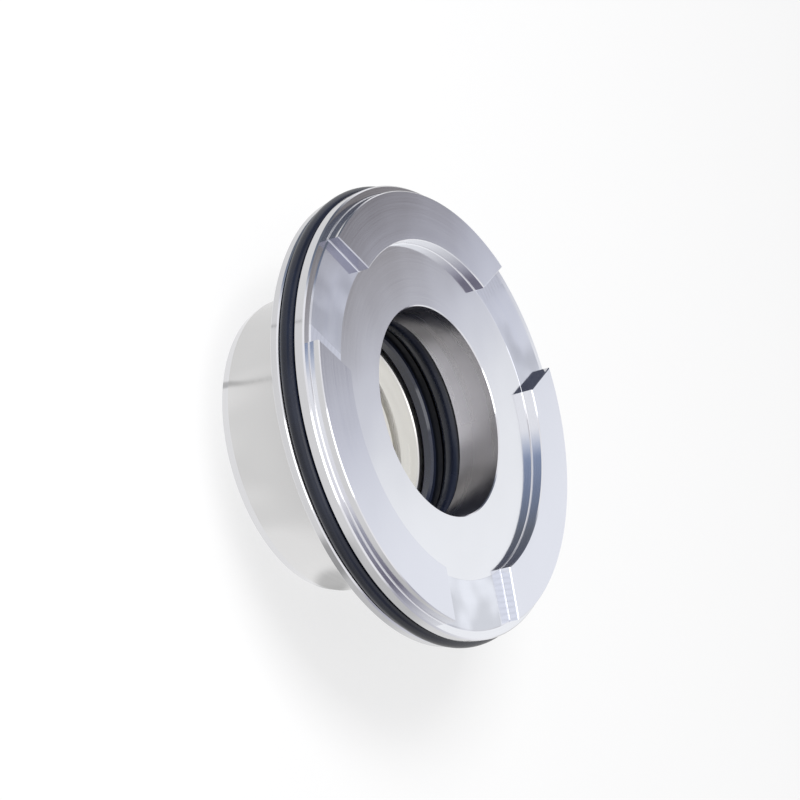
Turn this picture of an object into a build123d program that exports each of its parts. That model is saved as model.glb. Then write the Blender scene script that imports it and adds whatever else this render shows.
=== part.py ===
"""Cartridge mechanical seal: a turned steel gland with bayonet ramps, and the
seal unit that runs inside its tube. Millimetres, +Z up along the seal axis.

The gland stands on the end of its tube, the flange face on top. Z = 0 is the
tube end. Radii are built up from the shaft outwards, and heights from the tube
end upwards, so a change of one size carries through to what seats on it.
"""
import os
from math import atan2, cos, degrees, radians, sin

from build123d import *

os.makedirs("parts", exist_ok=True)

# ------------------------------------------------------------------ shaft and sleeve
shaft_radius = 21.5
shaft_clearance = 0.03
nose_wall = 2.5              # sleeve wall under the floating ring
nose_chamfer = 0.5
front_land = 4.7             # bearing length at the nose end of the sleeve
middle_land = 1.0
rear_land = 2.3
relief_depth = 1.7           # bore relief between the lands
shaft_cord = 2.65            # O-ring that seals on the shaft, drawn as squeezed there
shaft_groove_width = 3.6
collar_length = 5.5
collar_play = 0.8            # collar to the tube wall
hub_length = 2.5
hub_play = 0.65              # hub to the ears of the retaining ring
drive_slot_width = 6.0
drive_slot_floor = 0.5       # left between a drive slot and the O-ring groove
drive_slot_count = 2
sleeve_edge = 0.4
end_recess = 0.5             # the sleeve ends this far inside the tube

# ------------------------------------------------------------------ floating ring
face_lip = 2.2               # lip in front of the sleeve nose
face_lip_gap = 1.3           # lip to shaft
face_length = 6.2
face_chamfer = 0.5
face_play = 1.4              # ring to the tube wall
float_travel = 0.6           # how far the ring can be pushed back on its springs
stop_gap = 0.1               # left between the hard parts at the end of that travel
nose_play = 0.3              # ring bore over the sleeve nose
float_cord = 2.2             # O-ring that slides on the nose
float_cord_play = 0.12
float_groove_length = 2.7
thrust_plate_thickness = 1.2
thrust_plate_play = 0.5
collar_gap = 0.9             # thrust plate to collar at rest

# ------------------------------------------------------------------ springs and pins
station_count = 10           # springs and drive pins share one circle of stations
drive_pin_count = 2
spring_diameter = 2.7
spring_wire = 0.5
spring_turns = 4.0
spring_pocket_play = 0.25
spring_pocket_floor = 0.9    # steel left under a pocket
drive_pin_diameter = 1.8
drive_pin_floor = 1.9        # steel left under a drive pin
drive_pin_play = 0.3
drive_notch_depth = 2.5
drive_notch_wall = 0.6       # left between a notch and the O-ring groove
pin_chamfer = 0.2

# ------------------------------------------------------------------ stationary seat
seat_cord = 5.3              # O-ring between the web and the seat
seat_cord_proud = 0.25       # how far it stands into the bore
seat_cord_room = 0.2
seat_rim = 1.9               # wall that runs round the O-ring
seat_step = 1.05             # seat bore outside the web bore
seat_web = 1.5               # disc behind the O-ring
seat_nose_width = 2.6
seat_nose_height = 0.3
seat_edge = 0.3
seat_float = 0.3             # play of the seat in the tube
seat_pin_count = 2
seat_pin_diameter = 1.4
seat_pin_depth = 3.5         # length pressed into the web
seat_pin_reach = 2.4         # length left in the notch of the seat
seat_notch_play = 0.3

# ------------------------------------------------------------------ gland
flange_radius = 50.0
flange_thickness = 8.5
web_thickness = 10.3
web_gap = 1.65               # web bore to shaft
tube_wall = 2.4
rim_lip = 2.2                # rim left in front of the flange groove
rim_groove_width = 4.3
rim_cord = 3.55              # flange O-ring
rim_cord_proud = 0.9
rim_chamfer = 0.5
groove_chamfer = 0.3
bore_chamfer = 0.3
lead_in_length = 2.0         # slim taper that guides the tube end
lead_in_depth = 0.6
mouth_chamfer = 0.4

# ------------------------------------------------------------------ bayonet ramps
ramp_count = 3
ramp_ledge = 1.9             # turned ledge between a ramp and the rim
ramp_width = 11.0
ramp_start_height = 2.5      # above the front face
ramp_end_height = 2.7
ramp_chamfer = 0.2
slot_width = 26.2            # parallel-sided slot between two ramps
slot_floor_height = 0.15     # the slots stop just above the turned faces

# ------------------------------------------------------------------ retaining ring
clip_thickness = 1.5
clip_play = 0.1
clip_groove_depth = 1.0
clip_width = 2.9
clip_gap = 8.0               # opening between the two ears
clip_ear_width = 3.0
clip_ear_reach = 0.8
clip_ear_hole = 1.4
collar_end_play = 0.5        # collar to retaining ring

# ------------------------------------------------------------------ radii, from the shaft out
sleeve_bore = shaft_radius + shaft_clearance
nose_radius = sleeve_bore + nose_wall
relief_radius = sleeve_bore + relief_depth
shaft_groove_floor = shaft_radius + shaft_cord

bore_radius = shaft_radius + web_gap
seat_cord_bore = bore_radius - seat_cord_proud
seat_bore = bore_radius + seat_step
seat_nose_radius = seat_bore + seat_nose_width
seat_recess_radius = seat_cord_bore + seat_cord + seat_cord_room
seat_outer_radius = seat_recess_radius + seat_rim
seat_pin_circle = (seat_recess_radius + seat_outer_radius) / 2
cavity_radius = seat_outer_radius + seat_float
tube_radius = cavity_radius + tube_wall

face_bore = shaft_radius + face_lip_gap
face_inner_radius = nose_radius + nose_play
float_cord_bore = nose_radius + float_cord_play
float_groove_radius = float_cord_bore + float_cord
face_outer_radius = cavity_radius - face_play
collar_radius = cavity_radius - collar_play
spring_circle = (nose_radius + collar_radius) / 2

drive_pin_radius = drive_pin_diameter / 2
drive_notch_bore = float_groove_radius + drive_notch_wall
drive_notch_width = drive_pin_diameter + 2 * drive_pin_play
drive_notch_reach = 2 * (face_outer_radius - drive_notch_bore)
drive_notch_circle = drive_notch_bore + drive_notch_reach / 2
drive_pin_circle = drive_notch_bore + drive_pin_play + drive_pin_radius

clip_groove_radius = cavity_radius + clip_groove_depth
clip_outer_radius = clip_groove_radius - clip_play
clip_inner_radius = clip_outer_radius - clip_width
clip_ear_radius = clip_inner_radius - clip_ear_reach
hub_radius = clip_ear_radius - hub_play

ramp_outer_radius = flange_radius - ramp_ledge
ramp_inner_radius = ramp_outer_radius - ramp_width
ramp_middle_radius = (ramp_inner_radius + ramp_outer_radius) / 2
rim_groove_floor = flange_radius + rim_cord_proud - rim_cord

# ------------------------------------------------------------------ heights, from the tube end up
sleeve_bottom = end_recess
collar_bottom = sleeve_bottom + hub_length
collar_top = collar_bottom + collar_length
plate_bottom = collar_top + collar_gap
face_bottom = plate_bottom + thrust_plate_thickness
running_face = face_bottom + face_length
face_lip_bottom = running_face - face_lip
float_groove_top = face_bottom + float_groove_length
nose_top = face_lip_bottom - float_travel - stop_gap

seat_web_bottom = running_face + seat_nose_height
seat_web_top = seat_web_bottom + seat_web
web_bottom = seat_web_top + seat_cord
seat_top = web_bottom - seat_float
front_face = web_bottom + web_thickness
flange_bottom = front_face - flange_thickness
rim_groove_top = front_face - rim_lip
rim_groove_bottom = rim_groove_top - rim_groove_width

shaft_groove_bottom = sleeve_bottom + rear_land
shaft_groove_top = shaft_groove_bottom + shaft_groove_width
relief_bottom = shaft_groove_top + middle_land
relief_top = nose_top - front_land
spring_pocket_bottom = collar_bottom + spring_pocket_floor
drive_pin_bottom = collar_bottom + drive_pin_floor
drive_pin_top = face_bottom + drive_notch_depth - float_travel - drive_pin_play
clip_top = collar_bottom - collar_end_play
clip_bottom = clip_top - clip_thickness

# ------------------------------------------------------------------ stations round the collar
station_angle = 360 / station_count
pin_stations = [k * station_count // drive_pin_count for k in range(drive_pin_count)]
spring_stations = [k for k in range(station_count) if k not in pin_stations]


def finish(builder, name):
    """Label a finished piece and write it as its own STEP file."""
    builder.part.label = name
    export_step(builder.part, f"parts/{name}.step")


def o_ring(bore, cord, height):
    """A round cord ring: inner radius, section diameter, height of its middle."""
    with BuildPart() as ring:
        with BuildSketch(Plane.XZ):
            with Locations((bore + cord / 2, height)):
                Circle(cord / 2)
        revolve(axis=Axis.Z)
    return ring


def straight_pin(circle, angle, diameter, bottom, top):
    """An upright pin with both ends chamfered, on a circle about the axis."""
    with BuildPart() as pin:
        with BuildSketch(Plane.XY.offset(bottom)):
            with PolarLocations(circle, 1, start_angle=angle):
                Circle(diameter / 2)
        extrude(amount=top - bottom)
        chamfer(pin.edges().filter_by(GeomType.CIRCLE), length=pin_chamfer)
    return pin


# ------------------------------------------------------------------ bayonet ramp
# One raised sector, pointing along +X. Its two ends are parallel to the middles
# of the slots beside it, and its top climbs towards +Y like a bayonet cam.
half_sector = radians(180 / ramp_count)
sector_apex = slot_width / 2 / sin(half_sector)
sector_side = 2 * flange_radius
sector_corner = (sector_apex + sector_side * cos(half_sector), sector_side * sin(half_sector))
ramp_arc = 2 * half_sector * ramp_middle_radius - slot_width
ramp_slope = atan2(ramp_end_height - ramp_start_height, ramp_arc)
ramp_stock = 2 * ramp_end_height
ramp_top = Plane(
    origin=(ramp_middle_radius, 0, front_face + (ramp_start_height + ramp_end_height) / 2),
    x_dir=(1, 0, 0),
    z_dir=(0, -sin(ramp_slope), cos(ramp_slope)),
)

with BuildPart() as ramp:
    with BuildSketch(Plane.XY.offset(front_face)):
        Circle(ramp_outer_radius)
        Circle(ramp_inner_radius, mode=Mode.SUBTRACT)
        with BuildLine():
            Polyline((sector_apex, 0), sector_corner, (sector_corner[0], -sector_corner[1]), close=True)
        make_face(mode=Mode.INTERSECT)
    extrude(amount=ramp_stock)
    with BuildSketch(ramp_top):
        Rectangle(2 * flange_radius, 2 * flange_radius)
    extrude(amount=ramp_stock, mode=Mode.SUBTRACT)
    chamfer(ramp.faces().sort_by(Axis.Z)[-1].edges(), length=ramp_chamfer)

# ------------------------------------------------------------------ gland
gland_section = [
    (cavity_radius + mouth_chamfer, 0),
    (tube_radius - lead_in_depth, 0),
    (tube_radius, lead_in_length),
    (tube_radius, flange_bottom),
    (flange_radius - groove_chamfer, flange_bottom),
    (flange_radius, flange_bottom + groove_chamfer),
    (flange_radius, rim_groove_bottom - groove_chamfer),
    (flange_radius - groove_chamfer, rim_groove_bottom),
    (rim_groove_floor, rim_groove_bottom),
    (rim_groove_floor, rim_groove_top),
    (flange_radius, rim_groove_top),
    (flange_radius, front_face - rim_chamfer),
    (flange_radius - rim_chamfer, front_face),
    (ramp_outer_radius, front_face),
    (ramp_outer_radius, front_face + slot_floor_height),
    (ramp_inner_radius, front_face + slot_floor_height),
    (ramp_inner_radius, front_face),
    (bore_radius + bore_chamfer, front_face),
    (bore_radius, front_face - bore_chamfer),
    (bore_radius, web_bottom),
    (cavity_radius, web_bottom),
    (cavity_radius, clip_top),
    (clip_groove_radius, clip_top),
    (clip_groove_radius, clip_bottom),
    (cavity_radius, clip_bottom),
    (cavity_radius, mouth_chamfer),
]

with BuildPart() as gland:
    with BuildSketch(Plane.XZ):
        with BuildLine():
            Polyline(*gland_section, close=True)
        make_face()
    revolve(axis=Axis.Z)
    with PolarLocations(0, ramp_count, start_angle=-90):
        add(ramp.part)
    with BuildSketch(Plane.XY.offset(web_bottom)):
        with PolarLocations(seat_pin_circle, seat_pin_count, start_angle=90):
            Circle(seat_pin_diameter / 2)
    extrude(amount=seat_pin_depth, mode=Mode.SUBTRACT)
finish(gland, "gland_housing")
finish(o_ring(rim_groove_floor, rim_cord, (rim_groove_top + rim_groove_bottom) / 2), "flange_o_ring")

# ------------------------------------------------------------------ seat
seat_section = [
    (seat_bore, seat_web_top),
    (seat_recess_radius, seat_web_top),
    (seat_recess_radius, seat_top),
    (seat_outer_radius - seat_edge, seat_top),
    (seat_outer_radius, seat_top - seat_edge),
    (seat_outer_radius, seat_web_bottom + seat_edge),
    (seat_outer_radius - seat_edge, seat_web_bottom),
    (seat_nose_radius, seat_web_bottom),
    (seat_nose_radius, running_face),
    (seat_bore, running_face),
]

with BuildPart() as seat:
    with BuildSketch(Plane.XZ):
        with BuildLine():
            Polyline(*seat_section, close=True)
        make_face()
    revolve(axis=Axis.Z)
    with BuildSketch(Plane.XY.offset(seat_top)):
        with PolarLocations(seat_pin_circle, seat_pin_count, start_angle=90):
            Rectangle(2 * seat_rim, seat_pin_diameter + 2 * seat_notch_play)
    extrude(amount=-seat_pin_reach, mode=Mode.SUBTRACT)
finish(seat, "stationary_seat")
finish(o_ring(seat_cord_bore, seat_cord, web_bottom - seat_cord / 2), "seat_o_ring")

for k in range(seat_pin_count):
    seat_pin = straight_pin(
        seat_pin_circle,
        90 + k * 360 / seat_pin_count,
        seat_pin_diameter,
        web_bottom - seat_pin_reach,
        web_bottom + seat_pin_depth,
    )
    finish(seat_pin, f"seat_pin_{k + 1}")

# ------------------------------------------------------------------ floating ring
face_section = [
    (face_bore, running_face - face_chamfer),
    (face_bore + face_chamfer, running_face),
    (face_outer_radius - face_chamfer, running_face),
    (face_outer_radius, running_face - face_chamfer),
    (face_outer_radius, face_bottom),
    (float_groove_radius, face_bottom),
    (float_groove_radius, float_groove_top),
    (face_inner_radius, float_groove_top),
    (face_inner_radius, face_lip_bottom),
    (face_bore, face_lip_bottom),
]

with BuildPart() as face_ring:
    with BuildSketch(Plane.XZ):
        with BuildLine():
            Polyline(*face_section, close=True)
        make_face()
    revolve(axis=Axis.Z)
    with BuildSketch(Plane.XY.offset(face_bottom)):
        with PolarLocations(drive_notch_circle, drive_pin_count):
            Rectangle(drive_notch_reach, drive_notch_width)
    extrude(amount=drive_notch_depth, mode=Mode.SUBTRACT)
finish(face_ring, "rotary_face_ring")
finish(o_ring(float_cord_bore, float_cord, face_bottom + float_groove_length / 2), "rotary_o_ring")

with BuildPart() as thrust_plate:
    with BuildSketch(Plane.XY.offset(plate_bottom)):
        Circle(face_outer_radius)
        Circle(nose_radius + thrust_plate_play, mode=Mode.SUBTRACT)
        with PolarLocations(drive_notch_circle, drive_pin_count):
            Rectangle(drive_notch_reach, drive_notch_width, mode=Mode.SUBTRACT)
    extrude(amount=thrust_plate_thickness)
finish(thrust_plate, "thrust_plate")

# ------------------------------------------------------------------ sleeve
sleeve_section = [
    (sleeve_bore + nose_chamfer, nose_top),
    (nose_radius - nose_chamfer, nose_top),
    (nose_radius, nose_top - nose_chamfer),
    (nose_radius, collar_top),
    (collar_radius - sleeve_edge, collar_top),
    (collar_radius, collar_top - sleeve_edge),
    (collar_radius, collar_bottom + sleeve_edge),
    (collar_radius - sleeve_edge, collar_bottom),
    (hub_radius, collar_bottom),
    (hub_radius, sleeve_bottom + sleeve_edge),
    (hub_radius - sleeve_edge, sleeve_bottom),
    (sleeve_bore + sleeve_edge, sleeve_bottom),
    (sleeve_bore, sleeve_bottom + sleeve_edge),
    (sleeve_bore, shaft_groove_bottom),
    (shaft_groove_floor, shaft_groove_bottom),
    (shaft_groove_floor, shaft_groove_top),
    (sleeve_bore, shaft_groove_top),
    (sleeve_bore, relief_bottom),
    (relief_radius, relief_bottom),
    (relief_radius, relief_top),
    (sleeve_bore, relief_top),
    (sleeve_bore, nose_top - nose_chamfer),
]

with BuildPart() as sleeve:
    with BuildSketch(Plane.XZ):
        with BuildLine():
            Polyline(*sleeve_section, close=True)
        make_face()
    revolve(axis=Axis.Z)
    with BuildSketch(Plane.XY.offset(collar_top)):
        for k in spring_stations:
            with PolarLocations(spring_circle, 1, start_angle=k * station_angle):
                Circle(spring_diameter / 2 + spring_pocket_play)
    extrude(amount=spring_pocket_bottom - collar_top, mode=Mode.SUBTRACT)
    with BuildSketch(Plane.XY.offset(collar_top)):
        for k in pin_stations:
            with PolarLocations(drive_pin_circle, 1, start_angle=k * station_angle):
                Circle(drive_pin_radius)
    extrude(amount=drive_pin_bottom - collar_top, mode=Mode.SUBTRACT)
    with BuildSketch(Plane.XY.offset(sleeve_bottom)):
        with PolarLocations(hub_radius, drive_slot_count, start_angle=90):
            Rectangle(hub_radius, drive_slot_width)
    extrude(amount=rear_land - drive_slot_floor, mode=Mode.SUBTRACT)
finish(sleeve, "drive_sleeve")
finish(o_ring(shaft_radius, shaft_cord, (shaft_groove_top + shaft_groove_bottom) / 2), "shaft_o_ring")

for number, k in enumerate(pin_stations, start=1):
    drive_pin = straight_pin(
        drive_pin_circle, k * station_angle, drive_pin_diameter, drive_pin_bottom, drive_pin_top
    )
    finish(drive_pin, f"drive_pin_{number}")

# ------------------------------------------------------------------ springs
coil_radius = (spring_diameter - spring_wire) / 2
coil_bottom = spring_pocket_bottom + spring_wire / 2
coil_height = plate_bottom - spring_pocket_bottom - spring_wire
for number, k in enumerate(spring_stations, start=1):
    turn = radians(k * station_angle)
    foot = (spring_circle * cos(turn), spring_circle * sin(turn), coil_bottom)
    with BuildPart() as spring:
        with BuildLine() as coil:
            Helix(coil_height / spring_turns, coil_height, coil_radius, center=foot)
        with BuildSketch(Plane(origin=coil.line @ 0, z_dir=coil.line % 0)):
            Circle(spring_wire / 2)
        sweep(is_frenet=True)
    finish(spring, f"spring_{number}")

# ------------------------------------------------------------------ retaining ring
ear_height = clip_ear_reach + clip_width / 2
ear_middle = clip_ear_radius + ear_height / 2
ear_places = [(side * (clip_gap + clip_ear_width) / 2, -ear_middle) for side in (-1, 1)]
with BuildPart() as clip:
    with BuildSketch(Plane.XY.offset(clip_bottom)):
        Circle(clip_outer_radius)
        Circle(clip_inner_radius, mode=Mode.SUBTRACT)
        with Locations(*ear_places):
            Rectangle(clip_ear_width, ear_height)
        with Locations((0, -clip_outer_radius)):
            Rectangle(clip_gap, clip_outer_radius, mode=Mode.SUBTRACT)
        with Locations(*ear_places):
            Circle(clip_ear_hole / 2, mode=Mode.SUBTRACT)
    extrude(amount=clip_thickness)
finish(clip, "retaining_ring")
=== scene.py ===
from math import asin, cos, pi, radians, sin

import bmesh
import bpy
from mathutils import Euler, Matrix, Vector


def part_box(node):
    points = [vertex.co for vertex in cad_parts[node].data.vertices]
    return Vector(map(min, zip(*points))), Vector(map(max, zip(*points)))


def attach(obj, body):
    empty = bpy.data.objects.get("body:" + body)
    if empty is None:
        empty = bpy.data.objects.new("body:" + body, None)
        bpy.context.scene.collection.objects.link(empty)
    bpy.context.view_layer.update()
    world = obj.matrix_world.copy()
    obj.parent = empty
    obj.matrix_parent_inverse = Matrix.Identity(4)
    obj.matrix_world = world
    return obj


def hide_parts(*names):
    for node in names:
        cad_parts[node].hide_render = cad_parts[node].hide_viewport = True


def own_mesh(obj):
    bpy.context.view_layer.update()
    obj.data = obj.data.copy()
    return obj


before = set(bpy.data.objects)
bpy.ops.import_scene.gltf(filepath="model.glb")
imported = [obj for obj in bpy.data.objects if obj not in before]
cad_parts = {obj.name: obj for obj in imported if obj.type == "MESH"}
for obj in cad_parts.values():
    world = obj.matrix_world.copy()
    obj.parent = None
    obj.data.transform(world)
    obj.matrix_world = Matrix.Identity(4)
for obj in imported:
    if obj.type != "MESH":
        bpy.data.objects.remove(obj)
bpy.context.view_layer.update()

mm = 0.001

# ---------------------------------------------------------------- gland housing
# The body of the cartridge, turned from one bar of stainless steel: a flange
# with a grooved rim and a thin tube behind it. Three bayonet ramps stand on the
# face, and parallel-sided slots milled through the ramp ring part them.
_, housing_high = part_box("gland_housing")
seat_low, seat_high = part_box("stationary_seat")
clip_low, clip_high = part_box("retaining_ring")

ramp_count = 3
ramp_ledge = 1.9 * mm
ramp_width = 11.0 * mm
ramp_start = 2.5 * mm
ramp_end = 2.7 * mm
ramp_peak = 2.705 * mm
ramp_chamfer = 0.2 * mm
flange_thickness = 8.5 * mm
web_thickness = 10.3 * mm
tube_wall = 2.4 * mm
rim_lip = 2.2 * mm
rim_groove_width = 4.3 * mm
rim_groove_depth = 2.65 * mm
rim_chamfer = 0.3 * mm
groove_chamfer = 0.3 * mm
bore_chamfer = 0.22 * mm
lead_in_length = 2.0 * mm
lead_in_depth = 0.6 * mm
mouth_chamfer = 0.4 * mm
seat_play = 0.3 * mm
clip_play = 0.1 * mm

front_face = housing_high.z - ramp_peak
flange_bottom = front_face - flange_thickness
web_bottom = front_face - web_thickness
rim_groove_top = front_face - rim_lip
rim_groove_bottom = rim_groove_top - rim_groove_width
bore_radius = 23.15 * mm
cavity_radius = seat_high.x + seat_play
clip_groove_radius = clip_high.x + clip_play
tube_radius = cavity_radius + tube_wall
flange_radius = housing_high.x
rim_groove_floor = flange_radius - rim_groove_depth
ramp_outer_radius = flange_radius - ramp_ledge
ramp_inner_radius = ramp_outer_radius - ramp_width

slot_half_width = 13.1 * mm
slot_floor_inner = front_face + 0.05 * mm
slot_floor_outer = front_face + 0.28 * mm
slot_inner_radius = ramp_inner_radius + 0.05 * mm
slot_outer_radius = ramp_outer_radius - 0.28 * mm
foot_fillet = 0.3 * mm
embedded = 0.02 * mm
sharp_end = (2, 1)
ramp_steps = 84
slot_steps = 36
fillet_steps = 6
face_finish, slot_finish, ramp_finish, bore_finish, tube_finish = range(5)

crease_angle = 25
housing_crease = 16
noise_span = (0.3, 0.7)
ring_drift = 0.0004
ring_height = 0.004 * mm
ring_share = 0.35
cloud_scale = 38.0
cloud_span = (0.35, 0.65)
polish_scale = 60.0
streak_scale = 60.0
streak_stretch = (1.0, 1.0, 0.4)
# The phase sets where the streaks fall, chosen so that those on the web's bore are painted shade.
streak_and_shade_phase = (8.71, 0.0, 0.0)
streak_span = (0.38, 0.62)
cutter_bow = 18.0
cut_scale = 900.0
cut_height = 0.006 * mm
cut_strength = 0.03
cut_stretch = 0.05
# Bands of tone along the slots: partly the mill's passes, partly painted reflection of the walls and their
# shade.
pass_scale = 90.0
pass_stretch = (1.0, 1.0, 0.2)
pass_and_reflection_phase = (0.56, 0.0, 0.0)
pass_span = (0.36, 0.6)
pass_and_reflection_tones = (0.76, 1.0)
slot_unevenness = 0.05 * mm
chatter_width = 2.2 * mm
chatter_fade = 0.5 * mm
chatter_pitch = 1.3 * mm
chatter_depth = 0.05
# How light the painted reflection of the wall is, in the band beside it.
painted_wall_reflection_tone = 0.97


def node(tree, kind, inputs=(), **settings):
    """Add a node; an input is a value or another node's output, and a short kind is a shader node."""
    made = tree.nodes.new(kind if "Node" in kind else "ShaderNode" + kind)
    for key, value in settings.items():
        setattr(made, key, value)
    for key, value in dict(inputs).items():
        if isinstance(value, bpy.types.NodeSocket):
            tree.links.new(value, made.inputs[key])
        else:
            made.inputs[key].default_value = value
    return made


def math_node(tree, operation, *values):
    """One arithmetic step on numbers or sockets."""
    return node(tree, "Math", dict(enumerate(values)), operation=operation).outputs[0]


def vector_node(tree, operation, *values, output=0):
    """One step on vectors or sockets."""
    return node(tree, "VectorMath", dict(enumerate(values)), operation=operation).outputs[output]


def noise(tree, place, scale, detail, roughness=0.5):
    """Soft noise between 0 and 1."""
    inputs = {"Vector": place, "Scale": scale, "Detail": detail, "Roughness": roughness}
    return node(tree, "TexNoise", inputs).outputs[0]


def remap(tree, value, span, result=(0.0, 1.0), smooth=False):
    """Carry a span of values over to a span of results, and hold it at both ends."""
    inputs = {0: value, 1: span[0], 2: span[1], 3: result[0], 4: result[1]}
    return node(tree, "MapRange", inputs, interpolation_type="SMOOTHSTEP" if smooth else "LINEAR").outputs[0]


def new_material(name):
    """A material with a principled shader, and its tree."""
    material = bpy.data.materials.new(name)
    material.use_nodes = True
    return material, material.node_tree, material.node_tree.nodes["Principled BSDF"]


def object_place(tree):
    """The place of each point on the piece."""
    return node(tree, "TexCoord").outputs["Object"]


def lathe_coordinates(tree, place):
    """Radius, angle and height about the seal axis."""
    x, y, height = node(tree, "SeparateXYZ", {0: place}).outputs
    radius = math_node(tree, "SQRT", math_node(tree, "ADD", math_node(tree, "MULTIPLY", x, x),
                                               math_node(tree, "MULTIPLY", y, y)))
    return radius, math_node(tree, "ARCTAN2", y, x), height


def tint_and_roughen(tree, shader, colour, tone, roughness):
    """Give the shader a colour of varying tone and a varying roughness."""
    tint = node(tree, "VectorMath", {0: colour, "Scale": tone}, operation="SCALE").outputs[0]
    tree.links.new(tint, shader.inputs["Base Color"])
    tree.links.new(roughness, shader.inputs["Roughness"])


def cut_and_polished(tree, shader, place, cuts, strength, height, unevenness):
    """The relief of tool marks, over the slow unevenness that polishing by hand leaves."""
    waves = noise(tree, place, polish_scale, 1.0)
    polish = node(tree, "Bump", {"Strength": 1.0, "Distance": unevenness, "Height": waves}).outputs[0]
    relief = node(tree, "Bump", {"Strength": strength, "Distance": height, "Height": cuts, "Normal": polish})
    tree.links.new(relief.outputs[0], shader.inputs["Normal"])


def turned_steel(name, colour, roughness, anisotropy, groove_scale=2600, groove_depth=0.25, clouds=0.05,
                 streaks=0.0, unevenness=0.15 * mm):
    """Bright steel with the fine rings that a lathe tool leaves, and streaks along a bore or tube; on the
    web's bore the streaks are placed as painted shade.
    """
    material, tree, shader = new_material(name)
    place = object_place(tree)
    radius, angle, height = lathe_coordinates(tree, place)
    drift = math_node(tree, "MULTIPLY", angle, ring_drift)
    across = node(tree, "CombineXYZ", {0: radius, 1: height, 2: drift}).outputs[0]
    rings = noise(tree, across, groove_scale, 2.0, roughness=0.6)
    broad = math_node(tree, "MULTIPLY", noise(tree, place, cloud_scale, 3.0), 1.0 - ring_share)
    mixed = math_node(tree, "MULTIPLY_ADD", rings, ring_share, broad)
    tone = remap(tree, mixed, cloud_span, (1.0 - clouds, 1.0))
    if streaks:
        # Streaks of darker tone: on the web's bore they are painted shade, on the tube random streaks.
        wall = vector_node(tree, "MULTIPLY_ADD", place, streak_stretch, streak_and_shade_phase)
        bands = noise(tree, wall, streak_scale, 1.0)
        wear_and_painted_light = remap(tree, bands, streak_span, (1.0 - streaks, 1.0), smooth=True)
        tone = math_node(tree, "MULTIPLY", tone, wear_and_painted_light)
    tint_and_roughen(tree, shader, colour, tone,
                     remap(tree, rings, noise_span, (roughness * 0.85, roughness * 1.2)))
    cut_and_polished(tree, shader, place, rings, groove_depth, ring_height, unevenness)
    turning = vector_node(tree, "NORMALIZE", vector_node(tree, "CROSS_PRODUCT", (0, 0, 1), place))
    tree.links.new(turning, shader.inputs["Tangent"])
    shader.inputs["Metallic"].default_value = 1.0
    shader.inputs["Anisotropic"].default_value = anisotropy
    shader.inputs["Anisotropic Rotation"].default_value = 0.25
    return material


def milled_steel(name, colour, roughness):
    """Steel cut by the end of a mill that ran along each slot, with chatter beside one wall. Its bands of
    tone are both mill passes and painted reflection, and beside that wall lies a painted reflection of it.
    """
    material, tree, shader = new_material(name)
    place = object_place(tree)
    radius, angle, height = lathe_coordinates(tree, place)
    third = 2 * pi / ramp_count
    turned_back = math_node(tree, "SUBTRACT", angle, pi / 2 - third / 2)
    in_slot = math_node(tree, "MODULO", math_node(tree, "ADD", turned_back, 2 * pi), third)
    local = math_node(tree, "SUBTRACT", in_slot, third / 2)
    along = math_node(tree, "MULTIPLY", radius, math_node(tree, "COSINE", local))
    sideways = math_node(tree, "MULTIPLY", radius, math_node(tree, "SINE", local))

    bow = math_node(tree, "MULTIPLY", math_node(tree, "MULTIPLY", sideways, sideways), cutter_bow)
    marks = node(tree, "CombineXYZ", {0: math_node(tree, "ADD", along, bow),
                                      1: math_node(tree, "MULTIPLY", sideways, cut_stretch),
                                      2: math_node(tree, "MULTIPLY", height, cut_stretch)})
    cuts = noise(tree, marks.outputs[0], cut_scale, 2.0)
    # Bands that are both the mill's passes and painted reflection of the slot walls and their shade.
    passes_and_reflections = vector_node(tree, "MULTIPLY_ADD", place, pass_stretch, pass_and_reflection_phase)
    wear_and_painted_light = remap(tree, noise(tree, passes_and_reflections, pass_scale, 1.5), pass_span, pass_and_reflection_tones, smooth=True)

    wave = math_node(tree, "SINE", math_node(tree, "MULTIPLY", along, 2 * pi / chatter_pitch))
    edge = slot_half_width - 2 * chatter_width
    beside = remap(tree, sideways, (edge, edge + chatter_fade))
    ticks = math_node(tree, "MULTIPLY", beside, remap(tree, wave, (0.0, 1.0), (0.0, chatter_depth)))
    # Beside that wall the tone is lifted as a painted reflection of it; the chatter ticks above are tool
    # marks.
    wear_and_painted_light = math_node(tree, "MAXIMUM", wear_and_painted_light, math_node(tree, "MULTIPLY", beside, painted_wall_reflection_tone))
    fine = remap(tree, cuts, noise_span, (0.97, 1.0))
    tone = math_node(tree, "SUBTRACT", math_node(tree, "MULTIPLY", fine, wear_and_painted_light), ticks)
    tint_and_roughen(tree, shader, colour, tone,
                     remap(tree, cuts, noise_span, (roughness * 0.8, roughness * 1.2)))
    cut_and_polished(tree, shader, place, cuts, cut_strength, cut_height, slot_unevenness)
    shader.inputs["Metallic"].default_value = 1.0
    return material


def make_piece(name, points, faces, materials, slots=None, crease=crease_angle):
    """A smooth-shaded mesh object with crisp edges, from points and faces."""
    mesh = bpy.data.meshes.new(name)
    mesh.from_pydata(points, [], faces)
    shell = bmesh.new()
    shell.from_mesh(mesh)
    bmesh.ops.recalc_face_normals(shell, faces=shell.faces)
    shell.to_mesh(mesh)
    shell.free()
    for material in materials:
        mesh.materials.append(material)
    if slots:
        mesh.polygons.foreach_set("material_index", slots)
    mesh.validate()
    mesh.shade_smooth()
    mesh.set_sharp_from_angle(angle=radians(crease))
    piece = bpy.data.objects.new(name, mesh)
    bpy.context.scene.collection.objects.link(piece)
    return piece


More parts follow.
